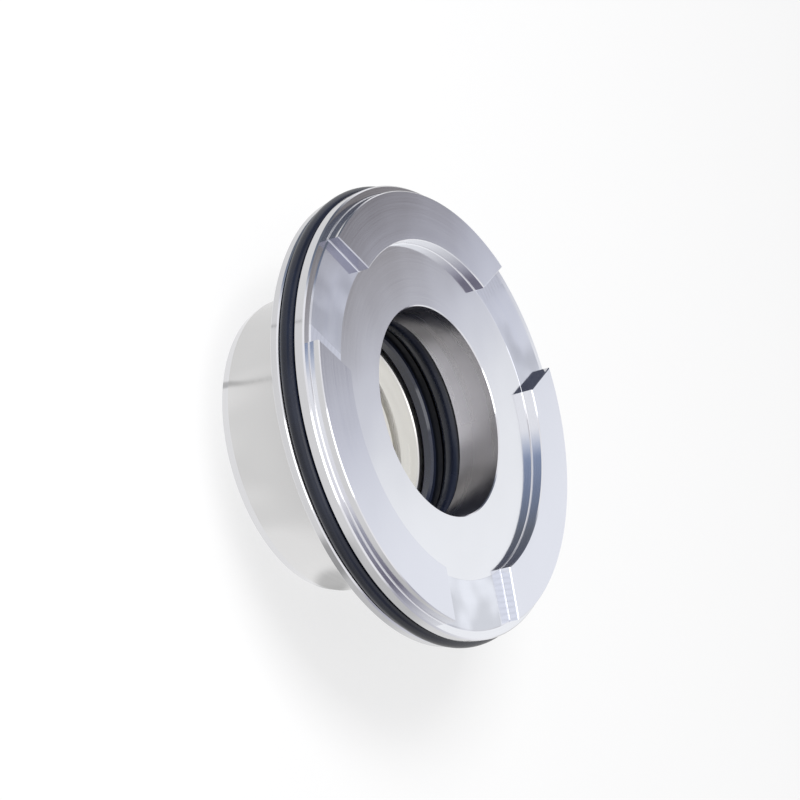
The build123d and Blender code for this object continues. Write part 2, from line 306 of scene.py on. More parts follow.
def fillet(points, faces, slots, stations, finish):
    """A hollow fillet in the corner at a wall's foot, from stations of corner and way out."""
    section = [(-embedded, -embedded), (foot_fillet, -embedded)]
    for i in range(fillet_steps + 1):
        bend = pi / 2 * (1 - i / fillet_steps)
        section.append((foot_fillet * (1 - cos(bend)), foot_fillet * (1 - sin(bend))))
    section.append((-embedded, foot_fillet))
    n = len(section)
    first = len(points)
    for corner, way_out in stations:
        points.extend(tuple(corner + way_out * u + Vector((0, 0, v))) for u, v in section)
    for i in range(len(stations) - 1):
        row = first + i * n
        faces.extend((row + j, row + n + j, row + n + (j + 1) % n, row + (j + 1) % n) for j in range(n))
    faces.append(tuple(range(first, first + n)))
    faces.append(tuple(reversed(range(len(points) - n, len(points)))))
    slots.extend([finish] * ((len(stations) - 1) * n + 2))


def end_wall(faces, slots, corners, steps, leading):
    """Close one end of a ramp: its milled wall and the chamfer above it."""
    inner_foot, inner_edge, inner_top, outer_top, outer_edge, outer_foot = corners
    inner_step, outer_step = steps
    wall = [inner_edge, outer_edge, outer_foot, outer_step, inner_step, inner_foot]
    slant = [inner_top, outer_top, outer_edge, inner_edge]
    faces.append(tuple(reversed(wall) if leading else wall))
    faces.append(tuple(reversed(slant) if leading else slant))
    slots.extend((slot_finish, slot_finish))


def housing_mesh(name, materials):
    """Rings of points joined to strips; the face ring has ramps and slots."""
    third = 2 * pi / ramp_count
    middles = [-pi / 2 + k * third for k in range(ramp_count)]
    ramp_middle = front_face + (ramp_start + ramp_end) / 2
    ramp_arc = third * (ramp_inner_radius + ramp_outer_radius) / 2 - 2 * slot_half_width
    slope = (ramp_end - ramp_start) / ramp_arc
    points, faces, slots = [], [], []

    def ramp_half(radius, inset=0.0):
        """Half the angle that a ramp takes at a radius, between parallel-sided slots."""
        return third / 2 - asin((slot_half_width + inset) / radius)

    def ramp_turns(middle, half, steps):
        """Angles across a ramp, from its start."""
        return [middle - half + 2 * half * i / ramp_steps for i in range(steps)]

    def slot_turns(middle, half, steps):
        """Angles across the slot after a ramp."""
        return [middle + half + (third - 2 * half) * i / slot_steps for i in range(steps)]

    def add_points(spots):
        """Add points, and say which they are."""
        first = len(points)
        points.extend(spots)
        return list(range(first, len(points)))

    def ring(radius, height, half):
        """A full ring of points: each ramp's share, then the slot after it."""
        turns = []
        for middle in middles:
            turns += ramp_turns(middle, half, ramp_steps) + slot_turns(middle, half, slot_steps)
        return add_points([(radius * cos(a), radius * sin(a), height) for a in turns])

    def ramp_line(middle, radius, half, drop=0.0):
        """An arc that lies on the climbing plane of a ramp, or below it."""
        across = Vector((-sin(middle), cos(middle)))
        turns = ramp_turns(middle, half, ramp_steps + 1)
        spots = [Vector((radius * cos(a), radius * sin(a))) for a in turns]
        heights = [ramp_middle + slope * spot.dot(across) - drop for spot in spots]
        return add_points([(spot.x, spot.y, height) for spot, height in zip(spots, heights)])

    def floor_line(middle, radius, height):
        """One curved edge of the slot floor after a ramp."""
        turns = slot_turns(middle, ramp_half(radius), slot_steps + 1)
        return add_points([(radius * cos(a), radius * sin(a), height) for a in turns])

    def strip(low, high, finish=face_finish, closed=True):
        """Join two rows of points with faces."""
        for i in range(len(low) if closed else len(low) - 1):
            j = (i + 1) % len(low)
            faces.append((low[i], low[j], high[j], high[i]))
            slots.append(finish)

    inner_half = ramp_half(ramp_inner_radius)
    outer_half = ramp_half(ramp_outer_radius)
    inner_inset = ramp_half(ramp_inner_radius + ramp_chamfer, ramp_chamfer)
    outer_inset = ramp_half(ramp_outer_radius - ramp_chamfer, ramp_chamfer)

    flange_outline = [
        (ramp_outer_radius, front_face, face_finish),
        (flange_radius - rim_chamfer, front_face, face_finish),
        (flange_radius, front_face - rim_chamfer, face_finish),
        (flange_radius, rim_groove_top, face_finish),
        (rim_groove_floor, rim_groove_top, face_finish),
        (rim_groove_floor, rim_groove_bottom, face_finish),
        (flange_radius - groove_chamfer, rim_groove_bottom, face_finish),
        (flange_radius, rim_groove_bottom - groove_chamfer, face_finish),
        (flange_radius, flange_bottom + groove_chamfer, face_finish),
        (flange_radius - groove_chamfer, flange_bottom, face_finish),
    ]
    tube_outline = [
        (tube_radius, flange_bottom, tube_finish),
        (tube_radius, lead_in_length, face_finish),
        (tube_radius - lead_in_depth, 0, tube_finish),
        (cavity_radius + mouth_chamfer, 0, tube_finish),
        (cavity_radius, mouth_chamfer, tube_finish),
        (cavity_radius, clip_low.z, tube_finish),
        (clip_groove_radius, clip_low.z, tube_finish),
        (clip_groove_radius, clip_high.z, tube_finish),
        (cavity_radius, clip_high.z, tube_finish),
        (cavity_radius, web_bottom, tube_finish),
        (bore_radius, web_bottom, bore_finish),
        (bore_radius, front_face - bore_chamfer, face_finish),
        (bore_radius + bore_chamfer, front_face, face_finish),
        (ramp_inner_radius, front_face, face_finish),
    ]
    rings = [ring(radius, height, outer_half) for radius, height, _ in flange_outline]
    rings += [ring(radius, height, inner_half) for radius, height, _ in tube_outline]
    for high, low, (_, _, finish) in zip(rings, rings[1:], flange_outline + tube_outline):
        strip(low, high, finish)
    outer_foot, inner_foot = rings[0], rings[-1]

    ramp_starts, ramp_ends, floors = [], [], []
    for k, middle in enumerate(middles):
        start = k * (ramp_steps + slot_steps)
        feet = [(start + i) % len(inner_foot) for i in range(ramp_steps + 1)]
        inner_wall = [inner_foot[i] for i in feet]
        outer_wall = [outer_foot[i] for i in feet]
        inner_edge = ramp_line(middle, ramp_inner_radius, inner_half, ramp_chamfer)
        inner_top = ramp_line(middle, ramp_inner_radius + ramp_chamfer, inner_inset)
        outer_top = ramp_line(middle, ramp_outer_radius - ramp_chamfer, outer_inset)
        outer_edge = ramp_line(middle, ramp_outer_radius, outer_half, ramp_chamfer)
        strip(inner_edge, inner_wall, closed=False)
        strip(inner_top, inner_edge, closed=False)
        strip(outer_top, inner_top, ramp_finish, closed=False)
        strip(outer_edge, outer_top, closed=False)
        strip(outer_wall, outer_edge, closed=False)
        rows = (inner_wall, inner_edge, inner_top, outer_top, outer_edge, outer_wall)
        ramp_starts.append([row[0] for row in rows])
        ramp_ends.append([row[-1] for row in rows])

        gap = [(start + ramp_steps + i) % len(inner_foot) for i in range(slot_steps + 1)]
        inner_step = floor_line(middle, slot_inner_radius, slot_floor_inner)
        outer_step = floor_line(middle, slot_outer_radius, slot_floor_outer)
        strip(inner_step, [inner_foot[i] for i in gap], slot_finish, closed=False)
        strip(outer_step, inner_step, slot_finish, closed=False)
        strip([outer_foot[i] for i in gap], outer_step, slot_finish, closed=False)
        floors.append((inner_step, outer_step))
    for k, floor_rows in enumerate(floors):
        end_wall(faces, slots, ramp_ends[k], [row[0] for row in floor_rows], True)
        end_wall(faces, slots, ramp_starts[(k + 1) % ramp_count], [row[-1] for row in floor_rows], False)

    for k, middle in enumerate(middles):
        for radius, half, away in ((ramp_inner_radius, inner_half, -1), (ramp_outer_radius, outer_half, 1)):
            stations = []
            for i in range(ramp_steps + 1):
                a = middle + (half - embedded / radius) * (2 * i / ramp_steps - 1)
                stations.append((Vector((radius * cos(a), radius * sin(a), front_face)),
                                 Vector((away * cos(a), away * sin(a), 0))))
            fillet(points, faces, slots, stations, face_finish)
        for side in (-1, 1):
            if (k, side) == sharp_end:
                continue
            gap_middle = middle + side * third / 2
            along = Vector((cos(gap_middle), sin(gap_middle), 0))
            into_gap = Vector((-sin(gap_middle), cos(gap_middle), 0)) * side
            stations = []
            for reach, height in ((slot_inner_radius, slot_floor_inner),
                                  (slot_outer_radius, slot_floor_outer)):
                foot = along * (reach * cos(asin(slot_half_width / reach))) - into_gap * slot_half_width
                stations.append((foot + Vector((0, 0, height)), into_gap))
            fillet(points, faces, slots, stations, slot_finish)
    return make_piece(name, points, faces, materials, slots, crease=housing_crease)


flange_steel = turned_steel("turned_flange_steel", (0.80, 0.80, 0.82), roughness=0.11, anisotropy=0.3,
                            unevenness=0.05 * mm)
slot_steel = milled_steel("milled_slot_steel", (0.79, 0.80, 0.85), roughness=0.11)
# The ramp tops are the flange's steel in a darker, bluer colour: painted shade.
shaded_ramp_steel = turned_steel("shaded_turned_ramp_steel", (0.73, 0.735, 0.785), roughness=0.13, anisotropy=0.4,
                          groove_depth=0.12, clouds=0.03, unevenness=0.05 * mm)
# The web's bore: its strong streaks paint shade onto the wall.
bored_steel = turned_steel("bored_web_steel", (0.74, 0.725, 0.78), roughness=0.28, anisotropy=0.5,
                           groove_scale=350, groove_depth=0.0, streaks=0.42, unevenness=0.04 * mm)
tube_steel = turned_steel("turned_tube_steel", (0.84, 0.835, 0.835), roughness=0.22, anisotropy=0.4,
                          streaks=0.15)
housing = housing_mesh("turned_gland_housing",
                       [flange_steel, slot_steel, shaded_ramp_steel, bored_steel, tube_steel])
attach(housing, "gland")
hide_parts("gland_housing")

# ---------------------------------------------------------------- rubber cords
# Round O-rings of smooth moulded rubber. One lies in the flange rim, one behind
# the web, one inside the floating ring and one inside the sleeve.
cord_section_steps = 32
round_steps = 288
cord_crease = 60
bloom_scale = 120.0
bloom_dark = (0.006, 0.008, 0.017, 1)
bloom_pale = (0.010, 0.014, 0.029, 1)
skin_scale = 2200.0
skin_height = 0.01 * mm


def moulded_rubber(name):
    """Near-black rubber with a faint bloom and a soft shine."""
    material, tree, shader = new_material(name)
    place = object_place(tree)
    bloom = noise(tree, place, bloom_scale, 4.0)
    ramp = node(tree, "ValToRGB", {0: bloom})
    ramp.color_ramp.elements[0].position = 0.3
    ramp.color_ramp.elements[0].color = bloom_dark
    ramp.color_ramp.elements[1].position = 0.8
    ramp.color_ramp.elements[1].color = bloom_pale
    tree.links.new(ramp.outputs[0], shader.inputs["Base Color"])
    tree.links.new(remap(tree, bloom, (0.0, 1.0), (0.23, 0.31)), shader.inputs["Roughness"])
    grain = noise(tree, place, skin_scale, 2.0)
    skin = node(tree, "Bump", {"Strength": 0.15, "Distance": skin_height, "Height": grain})
    tree.links.new(skin.outputs[0], shader.inputs["Normal"])
    shader.inputs["Specular IOR Level"].default_value = 0.45
    return material


def cord_ring(cad_node, body, material):
    """A smooth round cord at the size and place of its solid."""
    low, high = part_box(cad_node)
    cord = (high.z - low.z) / 2
    middle = (low.z + high.z) / 2
    circle = high.x - cord
    points, faces = [], []
    n = cord_section_steps
    for i in range(round_steps):
        turn = 2 * pi * i / round_steps
        after = (i + 1) % round_steps
        for j in range(n):
            lean = 2 * pi * j / n
            radius = circle + cord * cos(lean)
            points.append((radius * cos(turn), radius * sin(turn), middle + cord * sin(lean)))
            up = (j + 1) % n
            faces.append((i * n + j, after * n + j, after * n + up, i * n + up))
    piece = make_piece("moulded_" + cad_node, points, faces, [material], crease=cord_crease)
    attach(piece, body)
    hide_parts(cad_node)


rubber = moulded_rubber("moulded_black_rubber")
for cad_node, body in (("flange_o_ring", "gland"), ("seat_o_ring", "gland"),
                       ("rotary_o_ring", "floating_face"), ("shaft_o_ring", "rotor")):
    cord_ring(cad_node, body, rubber)

# ---------------------------------------------------------------- stationary seat
# A ring of silicon carbide behind the web. Its lapped nose faces the floating
# ring, and two notches in its rim sit over pins pressed into the housing.
seat_cord_low, seat_cord_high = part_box("seat_o_ring")
seat_step = 1.05 * mm
seat_nose_width = 2.6 * mm
seat_nose_height = 0.3 * mm
seat_cord_room = 0.2 * mm
seat_edge = 0.3 * mm
notch_depth = 2.4 * mm
notch_width = 2.0 * mm
sliver = 0.002 * mm
cutter_overrun = 1.0 * mm
cutter_sides = 48
carbide_grain = 700.0


def lapped_carbide(name, colour, roughness, shine):
    """Dense dark ceramic with a lapped, slightly cloudy shine."""
    material, tree, shader = new_material(name)
    grain = noise(tree, object_place(tree), carbide_grain, 3.0)
    tint_and_roughen(tree, shader, colour, remap(tree, grain, noise_span, (0.85, 1.1)),
                     remap(tree, grain, noise_span, (roughness * 0.8, roughness * 1.2)))
    shader.inputs["Specular IOR Level"].default_value = shine
    return material


def turned(name, outline, material):
    """Revolve a closed outline of radius and height, listed counter-clockwise."""
    points, faces = [], []
    n = len(outline)
    for i in range(round_steps):
        turn = 2 * pi * i / round_steps
        points += [(r * cos(turn), r * sin(turn), z) for r, z in outline]
        after = (i + 1) % round_steps
        faces += [(i * n + j, after * n + j, after * n + (j + 1) % n, i * n + (j + 1) % n) for j in range(n)]
    return make_piece(name, points, faces, [material])


def cut_away(piece, cutters):
    """Take solid cutters out of a piece and keep its edges crisp."""
    for cutter in cutters:
        step = piece.modifiers.new("cut", "BOOLEAN")
        step.operation = "DIFFERENCE"
        step.solver = "EXACT"
        step.object = cutter
    depsgraph = bpy.context.evaluated_depsgraph_get()
    mesh = bpy.data.meshes.new_from_object(piece.evaluated_get(depsgraph))
    piece.modifiers.clear()
    shell = bmesh.new()
    shell.from_mesh(mesh)
    bmesh.ops.remove_doubles(shell, verts=shell.verts, dist=sliver)
    bmesh.ops.dissolve_degenerate(shell, dist=sliver, edges=shell.edges)
    shell.to_mesh(mesh)
    shell.free()
    piece.data = mesh
    for cutter in cutters:
        bpy.data.objects.remove(cutter)
    mesh.shade_smooth()
    mesh.set_sharp_from_angle(angle=radians(crease_angle))


def block(centre_radius, turn, depth, width, low, high):
    """A square cutter that points outwards at an angle about the axis."""
    points = []
    for z in (low, high):
        for u, v in ((-1, -1), (1, -1), (1, 1), (-1, 1)):
            x, y = centre_radius + u * depth / 2, v * width / 2
            points.append((x * cos(turn) - y * sin(turn), x * sin(turn) + y * cos(turn), z))
    faces = [(3, 2, 1, 0), (4, 5, 6, 7), (0, 1, 5, 4), (1, 2, 6, 5), (2, 3, 7, 6), (3, 0, 4, 7)]
    return make_piece("cutter", points, faces, [])


def drill(centre_radius, turn, radius, low, high):
    """A round cutter parallel to the axis."""
    x, y = centre_radius * cos(turn), centre_radius * sin(turn)
    n = cutter_sides
    points = [(x + radius * cos(2 * pi * i / n), y + radius * sin(2 * pi * i / n), z)
              for z in (low, high) for i in range(n)]
    faces = [(i, (i + 1) % n, n + (i + 1) % n, n + i) for i in range(n)]
    faces += [tuple(reversed(range(n))), tuple(range(n, 2 * n))]
    return make_piece("cutter", points, faces, [])


running_face = seat_low.z
seat_web_top = seat_cord_low.z
seat_web_bottom = running_face + seat_nose_height
seat_bore = bore_radius + seat_step
seat_nose_radius = seat_bore + seat_nose_width
seat_recess = seat_cord_high.x + seat_cord_room
seat_radius = seat_high.x
rim_middle = (seat_recess + seat_radius) / 2
rim_wall = seat_radius - seat_recess
seat_outline = [
    (seat_bore, running_face),
    (seat_nose_radius, running_face),
    (seat_nose_radius, seat_web_bottom),
    (seat_radius - seat_edge, seat_web_bottom),
    (seat_radius, seat_web_bottom + seat_edge),
    (seat_radius, seat_high.z - seat_edge),
    (seat_radius - seat_edge, seat_high.z),
    (seat_recess, seat_high.z),
    (seat_recess, seat_web_top),
    (seat_bore, seat_web_top),
]
# The seat's carbide is made near black, darker than the floating ring's: painted shade for the deep gap it
# sits in.
shaded_seat_carbide = lapped_carbide("shaded_lapped_seat_carbide", (0.004, 0.005, 0.009), roughness=0.34, shine=0.2)
seat = turned("lapped_stationary_seat", seat_outline, shaded_seat_carbide)
cut_away(seat, [block(rim_middle, turn, 2 * rim_wall, notch_width,
                      seat_high.z - notch_depth, seat_high.z + cutter_overrun)
                for turn in (pi / 2, 3 * pi / 2)])
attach(seat, "gland")
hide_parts("stationary_seat")

# ---------------------------------------------------------------- floating ring
# The carbide ring that turns against the seat. Its bore slides on the sleeve
# nose, a lip covers the nose, and two notches take the drive pins.
face_low, face_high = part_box("rotary_face_ring")
_, float_cord_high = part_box("rotary_o_ring")
face_bore = 22.8 * mm
face_chamfer = 0.5 * mm
nose_bore = 24.33 * mm
drive_notch_bore = float_cord_high.x + 0.6 * mm
drive_notch_width = 2.4 * mm
drive_notch_top = face_low.z + 2.5 * mm
lip_bottom = face_high.z - 2.2 * mm
float_groove_top = face_low.z + 2.7 * mm
face_outline = [
    (face_bore, lip_bottom),
    (nose_bore, lip_bottom),
    (nose_bore, float_groove_top),
    (float_cord_high.x, float_groove_top),
    (float_cord_high.x, face_low.z),
    (face_high.x, face_low.z),
    (face_high.x, face_high.z - face_chamfer),
    (face_high.x - face_chamfer, face_high.z),
    (face_bore + face_chamfer, face_high.z),
    (face_bore, face_high.z - face_chamfer),
]
face_carbide = lapped_carbide("lapped_face_carbide", (0.016, 0.020, 0.038), roughness=0.12, shine=0.7)
face_ring = turned("lapped_rotary_face_ring", face_outline, face_carbide)
cut_away(face_ring, [block(face_high.x, turn, 2 * (face_high.x - drive_notch_bore), drive_notch_width,
                           face_low.z - cutter_overrun, drive_notch_top) for turn in (0, pi)])
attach(face_ring, "floating_face")
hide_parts("rotary_face_ring")

# ---------------------------------------------------------------- drive sleeve
# The sleeve that runs on the shaft. Its nose carries the floating ring, its
# collar holds springs and drive pins, and two slots across its end drive it.
sleeve_low, sleeve_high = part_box("drive_sleeve")
plate_low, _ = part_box("thrust_plate")
pin_low, pin_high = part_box("drive_pin_1")
_, shaft_cord_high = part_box("shaft_o_ring")
sleeve_bore = 21.53 * mm
nose_radius = sleeve_bore + 2.5 * mm
nose_chamfer = 0.25 * mm
relief_radius = sleeve_bore + 1.7 * mm
shaft_groove_radius = shaft_cord_high.x
shaft_groove_bottom = sleeve_low.z + 2.3 * mm
shaft_groove_top = shaft_groove_bottom + 3.6 * mm
relief_bottom = shaft_groove_top + 1.0 * mm
relief_top = sleeve_high.z - 4.7 * mm
hub_radius = 27.15 * mm
collar_bottom = sleeve_low.z + 2.5 * mm
collar_top = collar_bottom + 5.5 * mm
sleeve_edge = 0.4 * mm
drive_slot_width = 6.0 * mm
drive_slot_top = sleeve_low.z + 1.8 * mm
sleeve_outline = [
    (sleeve_bore + sleeve_edge, sleeve_low.z),
    (hub_radius - sleeve_edge, sleeve_low.z),
    (hub_radius, sleeve_low.z + sleeve_edge),
    (hub_radius, collar_bottom),
    (sleeve_high.x - sleeve_edge, collar_bottom),
    (sleeve_high.x, collar_bottom + sleeve_edge),
    (sleeve_high.x, collar_top - sleeve_edge),
    (sleeve_high.x - sleeve_edge, collar_top),
    (nose_radius, collar_top),
    (nose_radius, sleeve_high.z - nose_chamfer),
    (nose_radius - nose_chamfer, sleeve_high.z),
    (sleeve_bore + nose_chamfer, sleeve_high.z),
    (sleeve_bore, sleeve_high.z - nose_chamfer),
    (sleeve_bore, relief_top),
    (relief_radius, relief_top),
    (relief_radius, relief_bottom),
    (sleeve_bore, relief_bottom),
    (sleeve_bore, shaft_groove_top),
    (shaft_groove_radius, shaft_groove_top),
    (shaft_groove_radius, shaft_groove_bottom),
    (sleeve_bore, shaft_groove_bottom),
    (sleeve_bore, sleeve_low.z + sleeve_edge),
]
station_count = 10
free_every = station_count // 2
station_angle = 2 * pi / station_count
spring_circle = (nose_radius + sleeve_high.x) / 2
pocket_radius = 1.6 * mm
pocket_bottom = collar_bottom + 0.9 * mm
pin_circle = (pin_low.x + pin_high.x) / 2
pin_radius = (pin_high.y - pin_low.y) / 2
cutter_top = collar_top + cutter_overrun
sleeve_steel = turned_steel("turned_sleeve_steel", (0.88, 0.865, 0.82), roughness=0.32, anisotropy=0.3,
                            groove_scale=1800, groove_depth=0.4)
sleeve = turned("turned_drive_sleeve", sleeve_outline, sleeve_steel)
cutters = [drill(spring_circle, k * station_angle, pocket_radius, pocket_bottom, cutter_top)
           for k in range(station_count) if k % free_every]
cutters += [drill(pin_circle, turn, pin_radius, pin_low.z, cutter_top) for turn in (0, pi)]
cutters += [block(hub_radius, turn, hub_radius, drive_slot_width,
                  sleeve_low.z - cutter_overrun, drive_slot_top) for turn in (pi / 2, 3 * pi / 2)]
cut_away(sleeve, cutters)
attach(sleeve, "rotor")
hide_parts("drive_sleeve")

# ---------------------------------------------------------------- springs
# Eight short coil springs of drawn wire. They stand in the collar's pockets and
# press the thrust plate, and with it the floating ring, against the seat.
spring_wire = 0.5 * mm
spring_radius = 1.1 * mm
spring_turns = 4.0
spring_length = plate_low.z - pocket_bottom
coil_steps = 28
wire_sides = 12
wire_grain = 900.0


def drawn_wire(name, colour, roughness):
    """Spring steel with a slightly oily, drawn surface."""
    material, tree, shader = new_material(name)
    streaks = noise(tree, object_place(tree), wire_grain, 3.0)
    tint_and_roughen(tree, shader, colour, remap(tree, streaks, noise_span, (0.85, 1.05)),
                     remap(tree, streaks, noise_span, (roughness * 0.8, roughness * 1.2)))
    shader.inputs["Metallic"].default_value = 1.0
    return material


def spring_tree(material):
    """Coils on a circle of stations, with the pin stations left free."""
    tree = bpy.data.node_groups.new("spring_ring", "GeometryNodeTree")
    tree.interface.new_socket("Geometry", in_out="OUTPUT", socket_type="NodeSocketGeometry")
    for name, kind in (("Stations", "Int"), ("Free every", "Int"), ("Circle radius", "Float"),
                       ("Coil radius", "Float"), ("Wire radius", "Float"), ("Turns", "Float"),
                       ("Length", "Float"), ("Foot height", "Float")):
        tree.interface.new_socket(name, in_out="INPUT", socket_type="NodeSocket" + kind)
    given = node(tree, "NodeGroupInput").outputs

    coil = node(tree, "GeometryNodeCurveSpiral", {
        "Resolution": coil_steps, "Rotations": given["Turns"], "Start Radius": given["Coil radius"],
        "End Radius": given["Coil radius"], "Height": given["Length"]})
    wire = node(tree, "GeometryNodeCurvePrimitiveCircle", {
        "Resolution": wire_sides, "Radius": given["Wire radius"]})
    tube = node(tree, "GeometryNodeCurveToMesh", {
        "Curve": coil.outputs[0], "Profile Curve": wire.outputs[0], "Fill Caps": True})
    smooth = node(tree, "GeometryNodeSetShadeSmooth", {"Geometry": tube.outputs[0]})

    stations = node(tree, "GeometryNodeMeshCircle", {
        "Vertices": given["Stations"], "Radius": given["Circle radius"]})
    number = node(tree, "GeometryNodeInputIndex").outputs[0]
    turn = math_node(tree, "MODULO", number, given["Free every"])
    kept = node(tree, "FunctionNodeCompare", {0: turn, 1: 0.5}, operation="GREATER_THAN").outputs[0]
    copies = node(tree, "GeometryNodeInstanceOnPoints", {
        "Points": stations.outputs[0], "Selection": kept, "Instance": smooth.outputs[0]})
    lift = node(tree, "CombineXYZ", {2: given["Foot height"]}).outputs[0]
    moved = node(tree, "GeometryNodeTranslateInstances", {
        "Instances": copies.outputs[0], "Translation": lift, "Local Space": False})
    real = node(tree, "GeometryNodeRealizeInstances", {"Geometry": moved.outputs[0]})
    finish = node(tree, "GeometryNodeSetMaterial", {"Geometry": real.outputs[0], "Material": material})
    node(tree, "NodeGroupOutput", {0: finish.outputs[0]})
    return tree


def grown(name, tree, values):
    """Run a tree with its named inputs set, and keep the result as a plain mesh."""
    holder = bpy.data.objects.new(name + "_holder", bpy.data.meshes.new(name + "_holder"))
    bpy.context.scene.collection.objects.link(holder)
    modifier = holder.modifiers.new("nodes", "NODES")
    modifier.node_group = tree
    for item in tree.interface.items_tree:
        if item.item_type == "SOCKET" and item.in_out == "INPUT":
            modifier[item.identifier] = values[item.name]
    depsgraph = bpy.context.evaluated_depsgraph_get()
    mesh = bpy.data.meshes.new_from_object(holder.evaluated_get(depsgraph))
    bpy.data.objects.remove(holder)
    piece = bpy.data.objects.new(name, mesh)
    bpy.context.scene.collection.objects.link(piece)
    return piece


spring_steel = drawn_wire("drawn_spring_steel", (0.46, 0.45, 0.43), roughness=0.3)
springs = grown("coiled_springs", spring_tree(spring_steel), {
    "Stations": station_count, "Free every": free_every, "Circle radius": spring_circle,
    "Coil radius": spring_radius, "Wire radius": spring_wire / 2, "Turns": spring_turns,
    "Length": spring_length - spring_wire, "Foot height": pocket_bottom + spring_wire / 2})
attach(springs, "rotor")
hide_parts(*[f"spring_{k}" for k in range(1, 9)])
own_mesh(springs)

# ---------------------------------------------------------------- small steel parts
# The thrust plate, the pressed-in pins and the split retaining ring keep their
# solid shapes. They are ground or blanked steel.
ground_steel = drawn_wire("ground_pin_steel", (0.62, 0.62, 0.64), roughness=0.22)
for cad_node, material in (("thrust_plate", sleeve_steel), ("retaining_ring", spring_steel),
                           ("drive_pin_1", ground_steel), ("drive_pin_2", ground_steel),
                           ("seat_pin_1", ground_steel), ("seat_pin_2", ground_steel)):
    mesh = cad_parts[cad_node].data
    mesh.materials.clear()
    mesh.materials.append(material)

# ---------------------------------------------------------------- floor
# The pale studio floor that the cartridge stands on. The bright steel mirrors
# it, and only mirror rays see painted shade on it: soft grey patches of painted
# shadow near the part, a painted darkening further out and one dark line that is
# a painted reflection.
floor_size = 3.0
floor_white = (0.96, 0.96, 0.96, 1)
floor_glow = 0.7
# Painted shadow that only mirror rays see: the place, radius and tone of each patch.
painted_shadow_patches = (((0.022, 0.095, 0), 0.032, 0.76),
           ((0.052, 0.066, 0), 0.013, 0.5),
           ((0.002, 0.037, 0), 0.007, 0.62))
patch_core, patch_edge = 0.6, 1.4
# A painted reflection that only mirror rays see: one dark line across the floor.
painted_line_place = (0.0326, -0.0142, 0)
painted_line_normal = (0.677, 0.736, 0)
painted_line_width = 0.0011
painted_line_core = painted_line_width * 0.3
painted_line_tone = 0.6
# Painted shade that only mirror rays see: the floor grows darker further from the part.
near_reach, far_reach = 0.045, 0.075
near_tone, far_tone = 0.90, 0.79

half = floor_size / 2
floor_mesh = bpy.data.meshes.new("studio_floor")
floor_corners = [(-half, -half, 0), (half, -half, 0), (half, half, 0), (-half, half, 0)]
floor_mesh.from_pydata(floor_corners, [], [(0, 1, 2, 3)])
floor = bpy.data.objects.new("studio_floor", floor_mesh)
bpy.context.scene.collection.objects.link(floor)
paper, tree, shader = new_material("pale_floor_paper")
shader.inputs["Base Color"].default_value = floor_white
shader.inputs["Roughness"].default_value = 0.9

place = object_place(tree)
reach = vector_node(tree, "LENGTH", place, output="Value")
tone = remap(tree, reach, (near_reach, far_reach), (near_tone, far_tone), smooth=True)
from_painted_line = vector_node(tree, "SUBTRACT", place, painted_line_place)
across = vector_node(tree, "DOT_PRODUCT", from_painted_line, painted_line_normal, output="Value")
off_painted_line = math_node(tree, "ABSOLUTE", across)
painted_line = remap(tree, off_painted_line, (painted_line_core, painted_line_width), (painted_line_tone, 1.0), smooth=True)
tone = math_node(tree, "MULTIPLY", tone, painted_line)
for patch_place, patch_radius, patch_tone in painted_shadow_patches:
    away = vector_node(tree, "DISTANCE", place, patch_place, output="Value")
    patch_span = (patch_radius * patch_core, patch_radius * patch_edge)
    patch = remap(tree, away, patch_span, (patch_tone, 1.0), smooth=True)
    tone = math_node(tree, "MULTIPLY", tone, patch)

rays = node(tree, "LightPath").outputs
seen = math_node(tree, "MAXIMUM", rays["Is Camera Ray"], rays["Is Transmission Ray"])
share = math_node(tree, "MAXIMUM", rays["Is Glossy Ray"], math_node(tree, "MULTIPLY", seen, floor_glow))
# Mirror rays see the glow dimmed by the painted shade and painted line; camera rays see it at full strength.
bright = node(tree, "Mix", {0: rays["Is Glossy Ray"], 2: 1.0, 3: tone}, data_type="FLOAT").outputs[0]
white = node(tree, "Emission", {"Color": (1, 1, 1, 1), "Strength": bright}).outputs[0]
blend = node(tree, "MixShader", {0: share, 1: shader.outputs[0], 2: white})
tree.links.new(blend.outputs[0], tree.nodes["Material Output"].inputs["Surface"])
floor_mesh.materials.append(paper)

# ---------------------------------------------------------------- light
# Broad soft light from all round and from two overhead boxes. Bright steel needs
# light and dark walls to show its shape, so mirror rays find those all round.
lamp_distance = 0.9


def towards(azimuth, elevation):
    """The direction from the part towards an azimuth and elevation in degrees."""
    turn, lift = radians(azimuth), radians(elevation)
    return Vector((cos(turn) * cos(lift), sin(turn) * cos(lift), sin(lift)))


def blend_colours(tree, share, first, second):
    """Two colours mixed by a share."""
    return node(tree, "Mix", {0: share, 6: first, 7: second}, data_type="RGBA").outputs[2]


def lamp(name, energy, size, azimuth, elevation):
    """A soft box that points at the part from an azimuth and elevation."""
    data = bpy.data.lights.new(name, "AREA")
    data.energy = energy
    data.shape = "RECTANGLE"
    data.size, data.size_y = size
    box = bpy.data.objects.new(name, data)
    out = towards(azimuth, elevation)
    box.location = out * lamp_distance
    box.rotation_euler = (-out).to_track_quat("-Z", "Y").to_euler()
    bpy.context.scene.collection.objects.link(box)
    return box


key = lamp("key_box", energy=6.6, size=(0.4, 0.4), azimuth=318, elevation=54)
key.visible_glossy = False
lamp("front_box", energy=1.0, size=(0.5, 0.4), azimuth=20, elevation=66)

